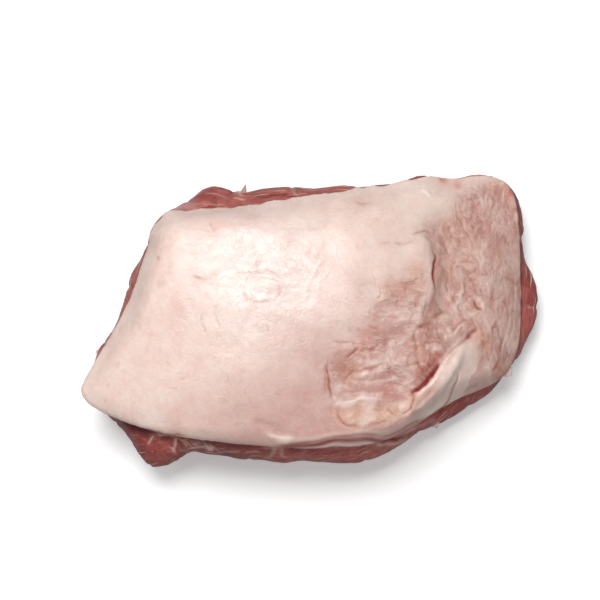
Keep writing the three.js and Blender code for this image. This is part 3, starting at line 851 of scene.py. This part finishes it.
class Tree:
    """A node tree being built: adds nodes and links with short calls."""

    def __init__(self, tree):
        self.tree = tree

    def node(self, kind, inputs=None, **settings):
        made = self.tree.nodes.new(kind)
        for key, value in settings.items():
            setattr(made, key, value)
        for key, value in (inputs or {}).items():
            if isinstance(value, bpy.types.NodeSocket):
                self.link(value, made.inputs[key])
            else:
                made.inputs[key].default_value = value
        return made

    def link(self, source, target):
        self.tree.links.new(source, target)

    def noise(self, vector, scale, detail=3.0, roughness=0.5, distortion=0.0):
        inputs = {"Vector": vector, "Scale": scale, "Detail": detail, "Roughness": roughness}
        return self.node("ShaderNodeTexNoise", {**inputs, "Distortion": distortion}).outputs["Fac"]

    def span(self, value, low, high, to_low=0.0, to_high=1.0):
        inputs = {"Value": value, "From Min": low, "From Max": high, "To Min": to_low, "To Max": to_high}
        return self.node("ShaderNodeMapRange", inputs).outputs["Result"]

    def math(self, operation, first, second=0.0, clamp=False):
        inputs = {0: first, 1: second}
        return self.node("ShaderNodeMath", inputs, operation=operation, use_clamp=clamp).outputs["Value"]

    def times(self, first, second):
        return self.math("MULTIPLY", first, second)

    def plus(self, first, second, clamp=False):
        return self.math("ADD", first, second, clamp)

    def minus(self, first, second):
        return self.math("SUBTRACT", first, second)

    def sum(self, *terms):
        """The terms added up, each a value and its weight."""
        parts = [self.times(value, weight) for value, weight in terms]
        return functools.reduce(self.plus, parts)

    def mix(self, share, first, second):
        inputs = {0: share, 6: first, 7: second}
        return self.node("ShaderNodeMix", inputs, data_type="RGBA", blend_type="MIX").outputs[2]

    def mask(self, name):
        return self.node("ShaderNodeAttribute", attribute_name=name).outputs["Fac"]

    def direction(self, name):
        return self.node("ShaderNodeAttribute", attribute_name=name).outputs["Vector"]

    def tinted(self, colour, tones):
        """The colour with each tone over it, as strong as its mask's name or value and its strength say."""
        for mask, strength, tone in tones:
            value = self.mask(mask) if isinstance(mask, str) else mask
            colour = self.mix(self.times(value, strength), colour, tone)
        return colour

    def made_by(self, kind, output, **inputs):
        """What a Geometry Nodes node gives, with _ for each space in its inputs' names."""
        named = {name.replace("_", " "): value for name, value in inputs.items()}
        return self.node("GeometryNode" + kind, named).outputs[output]

    def stored(self, name, data_type="FLOAT"):
        """A value stored on the points, in Geometry Nodes."""
        read = self.node("GeometryNodeInputNamedAttribute", {"Name": name}, data_type=data_type)
        return read.outputs["Attribute"]


def linear(red, green, blue):
    """A colour given as the 0 to 255 values of a picture, as the shader wants it."""
    share = [v / 255 for v in (red, green, blue)]
    return (*[v / 12.92 if v < 0.04045 else ((v + 0.055) / 1.055) ** 2.4 for v in share], 1.0)


def group(name, inputs, outputs, kind="ShaderNodeTree"):
    """A new node group with those sockets, its Tree, what it is given and what it gives out."""
    tree = bpy.data.node_groups.new(name, kind)
    for label, (sort, value) in inputs.items():
        socket = tree.interface.new_socket(label, in_out="INPUT", socket_type=sort)
        if value is not None:
            socket.default_value = value
    for label, sort in outputs.items():
        tree.interface.new_socket(label, in_out="OUTPUT", socket_type=sort)
    build = Tree(tree)
    return tree, build, build.node("NodeGroupInput").outputs, build.node("NodeGroupOutput").inputs


FLOAT, COLOUR, VECTOR = "NodeSocketFloat", "NodeSocketColor", "NodeSocketVector"
GEOMETRY, WHOLE, FINISH = "NodeSocketGeometry", "NodeSocketInt", "NodeSocketMaterial"


def moist_skin_group():
    """The uneven gloss and the fine pitted relief of a moist raw surface."""
    inputs = {"Vector": (VECTOR, None), "Gloss": (FLOAT, 0.4), "Spread": (FLOAT, 0.15), "Pits": (FLOAT, 1.0)}
    outputs = {"Roughness": FLOAT, "Wetness": FLOAT, "Height": FLOAT}
    tree, build, given, out = group("moist skin", inputs, outputs)
    broad, fine = build.noise(given["Vector"], 90, 3, 0.6), build.noise(given["Vector"], 520, 3, 0.6)
    pores = build.noise(given["Vector"], 1500, 2, 0.5)
    half = build.times(given["Spread"], 0.5)
    low, high = build.minus(given["Gloss"], half), build.plus(given["Gloss"], half)
    build.link(build.span(build.sum((broad, 0.6), (fine, 0.4)), 0.35, 0.65, low, high), out["Roughness"])
    build.link(build.span(broad, 0.42, 0.62), out["Wetness"])
    build.link(build.times(build.sum((fine, 0.7), (pores, 0.3)), given["Pits"]), out["Height"])
    return tree


def mottle_group():
    """Two tones of one tissue, clouded into each other at two sizes."""
    inputs = {
        "Vector": (VECTOR, None), "Light": (COLOUR, (1, 1, 1, 1)), "Deep": (COLOUR, (0.5, 0.5, 0.5, 1)),
        "Size": (FLOAT, 60.0), "Amount": (FLOAT, 0.5),
    }
    tree, build, given, out = group("mottle", inputs, {"Color": COLOUR})
    clouds = build.noise(given["Vector"], given["Size"], 4, 0.6, 0.6)
    specks = build.noise(given["Vector"], build.times(given["Size"], 7.0), 3, 0.6)
    share = build.span(build.sum((clouds, 0.7), (specks, 0.3)), 0.4, 0.66)
    build.link(build.mix(build.times(share, given["Amount"]), given["Light"], given["Deep"]), out["Color"])
    return tree


def fine_lines_group():
    """Thin winding lines, such as fine vessels or the edges of membranes, that come and go."""
    inputs = {
        "Vector": (VECTOR, None), "Size": (FLOAT, 150.0), "Width": (FLOAT, 0.02), "Wander": (FLOAT, 0.8),
        "Cover": (FLOAT, 0.5),
    }
    tree, build, given, out = group("fine lines", inputs, {"Mask": FLOAT})
    field = build.noise(given["Vector"], given["Size"], 3, 0.5, given["Wander"])
    line = build.span(build.math("ABSOLUTE", build.minus(field, 0.5)), 0.0, given["Width"], 1.0, 0.0)
    patches = build.noise(given["Vector"], build.times(given["Size"], 0.4), 2, 0.5)
    low = build.minus(0.75, build.times(given["Cover"], 0.5))
    build.link(build.times(line, build.span(patches, low, build.plus(low, 0.12))), out["Mask"])
    return tree


MOIST = moist_skin_group()
MOTTLE = mottle_group()
LINES = fine_lines_group()

# What each painted mask turns the fat to, and how strongly, the later ones over the earlier.
FAT_TONES = [
    # The lilac and brown tones also paint shade in places: towards the plateau's front and in the hollow's
    # dip.
    ("lilac", 0.85, linear(192, 146, 137)), ("brown", 0.75, linear(192, 140, 112)),
    ("blush", 0.85, linear(190, 78, 68)), ("vein", 0.80, linear(160, 88, 70)),
    # The crinkle tone is a painted highlight: it whitens the fat where the key light's highlight falls on
    # the plateau.
    ("crinkle_and_sheen", 0.40, linear(236, 224, 221)),
]
# These lie over the membranes.
FAT_MARKS = [
    # The crease tone also paints shade: in the hollow's dip, below the crest's step and along the front-left
    # edge.
    ("white", 0.75, linear(243, 226, 215)), ("crease", 0.90, linear(148, 58, 42)),
    ("blood", 0.90, linear(132, 18, 13)), ("meat", 0.92, linear(134, 62, 56)),
]
LEAN_TONES = [
    # The dark tone is partly painted shade, along under the fat's front edge.
    ("seam", 0.75, linear(218, 178, 164)), ("dark", 0.85, linear(88, 30, 34)),
    ("film", 0.50, linear(210, 184, 182)),
]


def material(name):
    """A new material with its Tree, its surface shader and the places to lay patterns out by."""
    made = bpy.data.materials.new(name)
    made.use_nodes = True
    build = Tree(made.node_tree)
    where = build.node("ShaderNodeTexCoord").outputs["Object"]
    return made, build, made.node_tree.nodes["Principled BSDF"], where


def placed(build, tree, **inputs):
    """What a node group gives for those inputs."""
    return build.node("ShaderNodeGroup", inputs, node_tree=tree).outputs


def set_plain(shader, **values):
    """Sets the shader's constants, with _ for each space in their names."""
    for name, value in values.items():
        shader.inputs[name.replace("_", " ")].default_value = value


def relief(build, shader, height, strength, distance):
    """Gives the surface fine relief, at most that distance deep."""
    inputs = {"Strength": strength, "Distance": distance, "Height": height}
    build.link(build.node("ShaderNodeBump", inputs).outputs["Normal"], shader.inputs["Normal"])


def fat_finish():
    made, build, shader, where = material("pale_fat")
    flow, membrane, crinkle_and_sheen = build.direction("flow"), build.mask("membrane"), build.mask("crinkle_and_sheen")
    base = placed(build, MOTTLE, Vector=where, Light=linear(236, 213, 202), Deep=linear(225, 190, 178),
                  Size=55.0, Amount=0.8)["Color"]

    # Membranes: cream and lilac patches, with fine pale fibres and red-brown lines.
    patches = build.noise(flow, 210, 6, 0.72, 0.6)
    fibres = placed(build, LINES, Vector=flow, Size=260.0, Width=0.03, Wander=0.6, Cover=0.6)["Mask"]
    vessels = placed(build, LINES, Vector=flow, Size=95.0, Width=0.008, Wander=0.3, Cover=0.6)["Mask"]
    threads = placed(build, LINES, Vector=where, Size=60.0, Width=0.006, Wander=1.0, Cover=0.2)["Mask"]
    membranes = [
        (build.times(build.span(patches, 0.5, 0.66), membrane), 0.50, linear(241, 218, 203)),
        (build.times(build.span(patches, 0.48, 0.32), membrane), 0.72, linear(190, 134, 124)),
        (build.times(fibres, membrane), 0.30, linear(246, 228, 214)),
        (build.times(vessels, membrane), 0.40, linear(176, 98, 80)),
        (threads, 0.25, linear(176, 104, 90)),
    ]
    build.link(build.tinted(base, FAT_TONES + membranes + FAT_MARKS), shader.inputs["Base Color"])

    # The plateau's skin is crazed with fine wet crinkles.
    crazing = build.math("ABSOLUTE", build.minus(build.noise(flow, 230, 3, 0.6, 0.5), 0.5))
    crazing = build.times(build.span(crazing, 0.0, 0.07), crinkle_and_sheen)
    wet = build.mask("wet")
    skin = placed(build, MOIST, Vector=where, Gloss=0.38, Spread=0.2, Pits=1.0)
    smoother = build.times(build.plus(build.times(crinkle_and_sheen, 0.5), wet, True), 0.12)
    build.link(build.minus(skin["Roughness"], smoother), shader.inputs["Roughness"])
    grain = build.times(build.sum((patches, 1.0), (fibres, 0.3), (vessels, -1.0)), membrane)
    relief(build, shader, build.sum((skin["Height"], 0.35), (grain, 1.7), (crazing, 0.45)), 0.6, 0.0007)
    set_plain(shader, Subsurface_Weight=0.25, Subsurface_Radius=(1.0, 0.45, 0.32), Subsurface_Scale=0.003,
              IOR=1.45, Coat_Roughness=0.20)
    coat = build.times(skin["Wetness"], build.plus(0.22, build.times(wet, 0.5)))
    build.link(build.plus(coat, build.times(crinkle_and_sheen, 0.21)), shader.inputs["Coat Weight"])
    return made


def lean_finish():
    made, build, shader, where = material("lean_meat")
    grain, tint = build.direction("grain"), build.mask("tint")
    fibres, bundles = build.noise(grain, 850, 4, 0.65, 0.4), build.noise(grain, 260, 4, 0.6, 0.5)
    base = placed(build, MOTTLE, Vector=where, Light=linear(168, 84, 77), Deep=linear(134, 54, 52),
                  Size=45.0, Amount=0.9)["Color"]
    meat = [
        (build.span(bundles, 0.44, 0.66), 0.55, linear(112, 44, 42)),
        (build.span(bundles, 0.46, 0.30), 0.40, linear(194, 112, 98)),
        (build.span(fibres, 0.52, 0.74), 0.55, linear(204, 142, 128)),
        (build.span(fibres, 0.46, 0.30), 0.50, linear(96, 36, 36)),
        (build.span(tint, 0.0, 0.2), 0.35, linear(196, 122, 110)),
        (build.span(tint, 0.0, -0.2), 0.50, linear(108, 48, 45)),
    ]
    build.link(build.tinted(base, meat + LEAN_TONES), shader.inputs["Base Color"])
    skin = placed(build, MOIST, Vector=where, Gloss=0.40, Spread=0.2, Pits=0.6)
    build.link(skin["Roughness"], shader.inputs["Roughness"])
    relief(build, shader, build.sum((fibres, 0.8), (bundles, 1.2), (skin["Height"], 0.5)), 0.7, 0.0006)
    set_plain(shader, Subsurface_Weight=0.15, Subsurface_Radius=(1.0, 0.3, 0.2), Subsurface_Scale=0.003,
              IOR=1.40, Coat_Roughness=0.10)
    build.link(build.times(skin["Wetness"], 0.45), shader.inputs["Coat Weight"])
    return made


def plain_finish(name, light, deep, size, gloss, coat, **constants):
    """A moist finish of two clouded tones, for a thin piece."""
    made, build, shader, where = material(name)
    base = placed(build, MOTTLE, Vector=where, Light=light, Deep=deep, Size=size, Amount=0.8)["Color"]
    build.link(base, shader.inputs["Base Color"])
    skin = placed(build, MOIST, Vector=where, Gloss=gloss, Spread=0.2, Pits=0.5)
    build.link(skin["Roughness"], shader.inputs["Roughness"])
    if coat:
        build.link(build.times(skin["Wetness"], coat), shader.inputs["Coat Weight"])
    set_plain(shader, **constants)
    return made


# ---- Strands of fat in the lean, by Geometry Nodes ----


def strand_tree():
    """Thin strands half sunk in a surface, along its way and as close together as its strands mask says."""
    inputs = {
        "Surface": (GEOMETRY, None), "Density": (FLOAT, 30000.0), "Length": (FLOAT, 0.008),
        "Thickness": (FLOAT, 0.0002), "Wander": (FLOAT, 0.003), "Seed": (WHOLE, 1), "Finish": (FINISH, None),
    }
    tree, build, given, out = group("strands", inputs, {"Strands": GEOMETRY}, "GeometryNodeTree")
    surface, seed = given["Surface"], given["Seed"]
    density = build.times(given["Density"], build.stored("strands"))
    inputs = {"Mesh": surface, "Density": density, "Seed": seed}
    scatter = build.node("GeometryNodeDistributePointsOnFaces", inputs)
    inputs = {2: 0.35, 3: 1.6, "Seed": seed}  # each strand's own share of the length and the thickness
    size = build.node("FunctionNodeRandomValue", inputs, data_type="FLOAT").outputs[1]
    girth = build.node("GeometryNodeStoreNamedAttribute",
                       {"Geometry": scatter.outputs["Points"], "Name": "girth", "Value": size},
                       data_type="FLOAT", domain="POINT").outputs["Geometry"]
    way = {"Vector": build.stored("way", "FLOAT_VECTOR")}
    along = build.node("FunctionNodeAlignRotationToVector", way, axis="X").outputs["Rotation"]
    up = {"Rotation": along, "Vector": scatter.outputs["Normal"]}
    lying = build.node("FunctionNodeAlignRotationToVector", up, axis="Z", pivot_axis="X").outputs["Rotation"]

    line = build.made_by("CurvePrimitiveLine", "Curve", Start=(-0.5, 0, 0), End=(0.5, 0, 0))
    line = build.made_by("ResampleCurve", "Curve", Curve=line, Count=8)
    length = {"X": build.times(given["Length"], size), "Y": 1.0, "Z": 1.0}
    stretch = build.node("ShaderNodeCombineXYZ", length).outputs["Vector"]
    laid = build.made_by("InstanceOnPoints", "Instances", Points=girth, Instance=line, Rotation=lying,
                         Scale=stretch)
    laid = build.made_by("RealizeInstances", "Geometry", Geometry=laid)

    here = build.made_by("InputPosition", "Position")
    stir = build.node("ShaderNodeTexNoise", {"Vector": here, "Scale": 140.0, "Detail": 1.0}).outputs["Color"]
    stir = build.node("ShaderNodeVectorMath", {0: stir, 1: (0.5, 0.5, 0.5)}, operation="SUBTRACT")
    stir = {"Vector": stir.outputs["Vector"], "Scale": given["Wander"]}
    stir = build.node("ShaderNodeVectorMath", stir, operation="SCALE").outputs["Vector"]
    bent = build.made_by("SetPosition", "Geometry", Geometry=laid, Offset=stir)
    nearest = build.node("GeometryNodeProximity", {0: surface}, target_element="FACES").outputs["Position"]
    sunk = build.made_by("SetPosition", "Geometry", Geometry=bent, Position=nearest)

    share = build.made_by("SplineParameter", "Factor")
    hump = build.times(build.times(share, build.minus(1.0, share)), 4.0)
    thickness = build.times(given["Thickness"], build.stored("girth"))
    radius = build.times(build.math("POWER", hump, 0.7), thickness)
    ring = build.made_by("CurvePrimitiveCircle", "Curve", Resolution=5, Radius=1.0)
    tube = build.made_by("CurveToMesh", "Mesh", Curve=sunk, Profile_Curve=ring, Scale=radius, Fill_Caps=True)
    smooth = build.made_by("SetShadeSmooth", "Geometry", Geometry=tube)
    whole = build.made_by("RealizeInstances", "Geometry", Geometry=smooth)
    done = build.made_by("SetMaterial", "Geometry", Geometry=whole, Material=given["Finish"])
    build.link(done, out["Strands"])
    return tree


def grow(name, over, tree, **inputs):
    """What a Geometry Nodes tree makes over a piece's surface, as a plain mesh in a piece of its own."""
    piece = new_object(name, over.data.copy())
    live = piece.modifiers.new(name, "NODES")
    live.node_group = tree
    for item in tree.interface.items_tree:
        if item.name in inputs:
            live[item.identifier] = inputs[item.name]
    return settle(piece)


# ---- Floor, light and camera ----

CAMERA_AIM = Vector((-7.2, 7.6, 45)) * MM  # what the middle of the picture looks at
CAMERA_RISE = math.radians(80)  # how steeply it looks down
CAMERA_AWAY = 1.1
PICTURE_WIDTH_THERE = 600 * 0.56 * MM  # what the picture spans at that distance
SENSOR = 36.0
# Where each light hangs, the side of its square and its watts. The fill is weak and lifts the shaded front.
LIGHTS = {
    "key": ((-0.22, 0.44, 1.40), 0.75, 18.3),
    "side": ((-1.25, 0.55, 0.75), 0.6, 3),
    "fill": ((0.45, -1.15, 0.80), 0.9, 5.5),
}
LIGHTS_AIM = (0, 0, 0.04)
SKY = 0.22
FLOOR_HALF = 4.0
FLOOR_BACK, FLOOR_GLOW = (0.3, 0.3, 0.3, 1), (0.16, 0.16, 0.16, 1)  # what the floor gives back to the roast
WHITE, BLACK = (1, 1, 1, 1), (0, 0, 0, 1)


def look(obj, at, aim):
    """Puts a camera or a light there, turned to its aim."""
    obj.location = at
    obj.rotation_euler = (Vector(aim) - Vector(at)).to_track_quat("-Z", "Y").to_euler()


def make_camera():
    data = bpy.data.cameras.new("camera")
    data.sensor_width = SENSOR
    data.lens = SENSOR * CAMERA_AWAY / PICTURE_WIDTH_THERE
    camera = new_object("camera", data)
    back = Vector((0, -math.cos(CAMERA_RISE), math.sin(CAMERA_RISE)))
    look(camera, CAMERA_AIM + back * CAMERA_AWAY, CAMERA_AIM)
    bpy.context.scene.camera = camera


def make_floor():
    """A white floor, which gives the roast less light back than it shows the camera."""
    mesh = bpy.data.meshes.new("floor")
    corners = [(x * FLOOR_HALF, y * FLOOR_HALF, 0) for x, y in ((-1, -1), (1, -1), (1, 1), (-1, 1))]
    mesh.from_pydata(corners, [], [(0, 1, 2, 3)])
    made, build, shader, _ = material("pale_floor")
    seen = build.node("ShaderNodeLightPath").outputs["Is Camera Ray"]
    build.link(build.mix(seen, FLOOR_BACK, WHITE), shader.inputs["Base Color"])
    build.link(build.mix(seen, BLACK, FLOOR_GLOW), shader.inputs["Emission Color"])
    set_plain(shader, Roughness=0.8, Emission_Strength=1.0)
    mesh.materials.append(made)
    floor = new_object("floor", mesh)


def make_light():
    for name, (at, side, watts) in LIGHTS.items():
        data = bpy.data.lights.new(name, "AREA")
        data.shape = "RECTANGLE"
        data.size = data.size_y = side
        data.energy = watts
        look(new_object(name, data), at, LIGHTS_AIM)
    world = bpy.data.worlds.new("studio")
    world.use_nodes = True
    world.node_tree.nodes["Background"].inputs["Color"].default_value = WHITE
    world.node_tree.nodes["Background"].inputs["Strength"].default_value = SKY
    bpy.context.scene.world = world
    bpy.context.scene.view_settings.view_transform = "Standard"


# ---- The roast ----

make_camera()
make_floor()
make_light()

cap = make_cap()
cap.data.materials.append(fat_finish())
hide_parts("fat_cap")
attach(cap, "root")

lean = make_lean()
lean.data.materials.append(lean_finish())
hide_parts("lean_meat")
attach(lean, "root")

strand_fat = plain_finish("strands_of_fat", linear(226, 190, 174), linear(190, 132, 120), 160.0, 0.38, 0.4,
                          Coat_Roughness=0.12, IOR=1.45)
marbling = grow("lean_marbling", lean, strand_tree(), Density=18000.0, Length=0.008, Thickness=0.00013,
                Wander=0.003, Seed=5, Finish=strand_fat)
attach(marbling, "root")

flaps = make_flaps([cap, lean])
flaps.data.materials.append(plain_finish(
    "thin_membrane", linear(224, 206, 198), linear(196, 158, 150), 120.0, 0.30, 0.0, Alpha=0.8, IOR=1.40))
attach(flaps, "root")
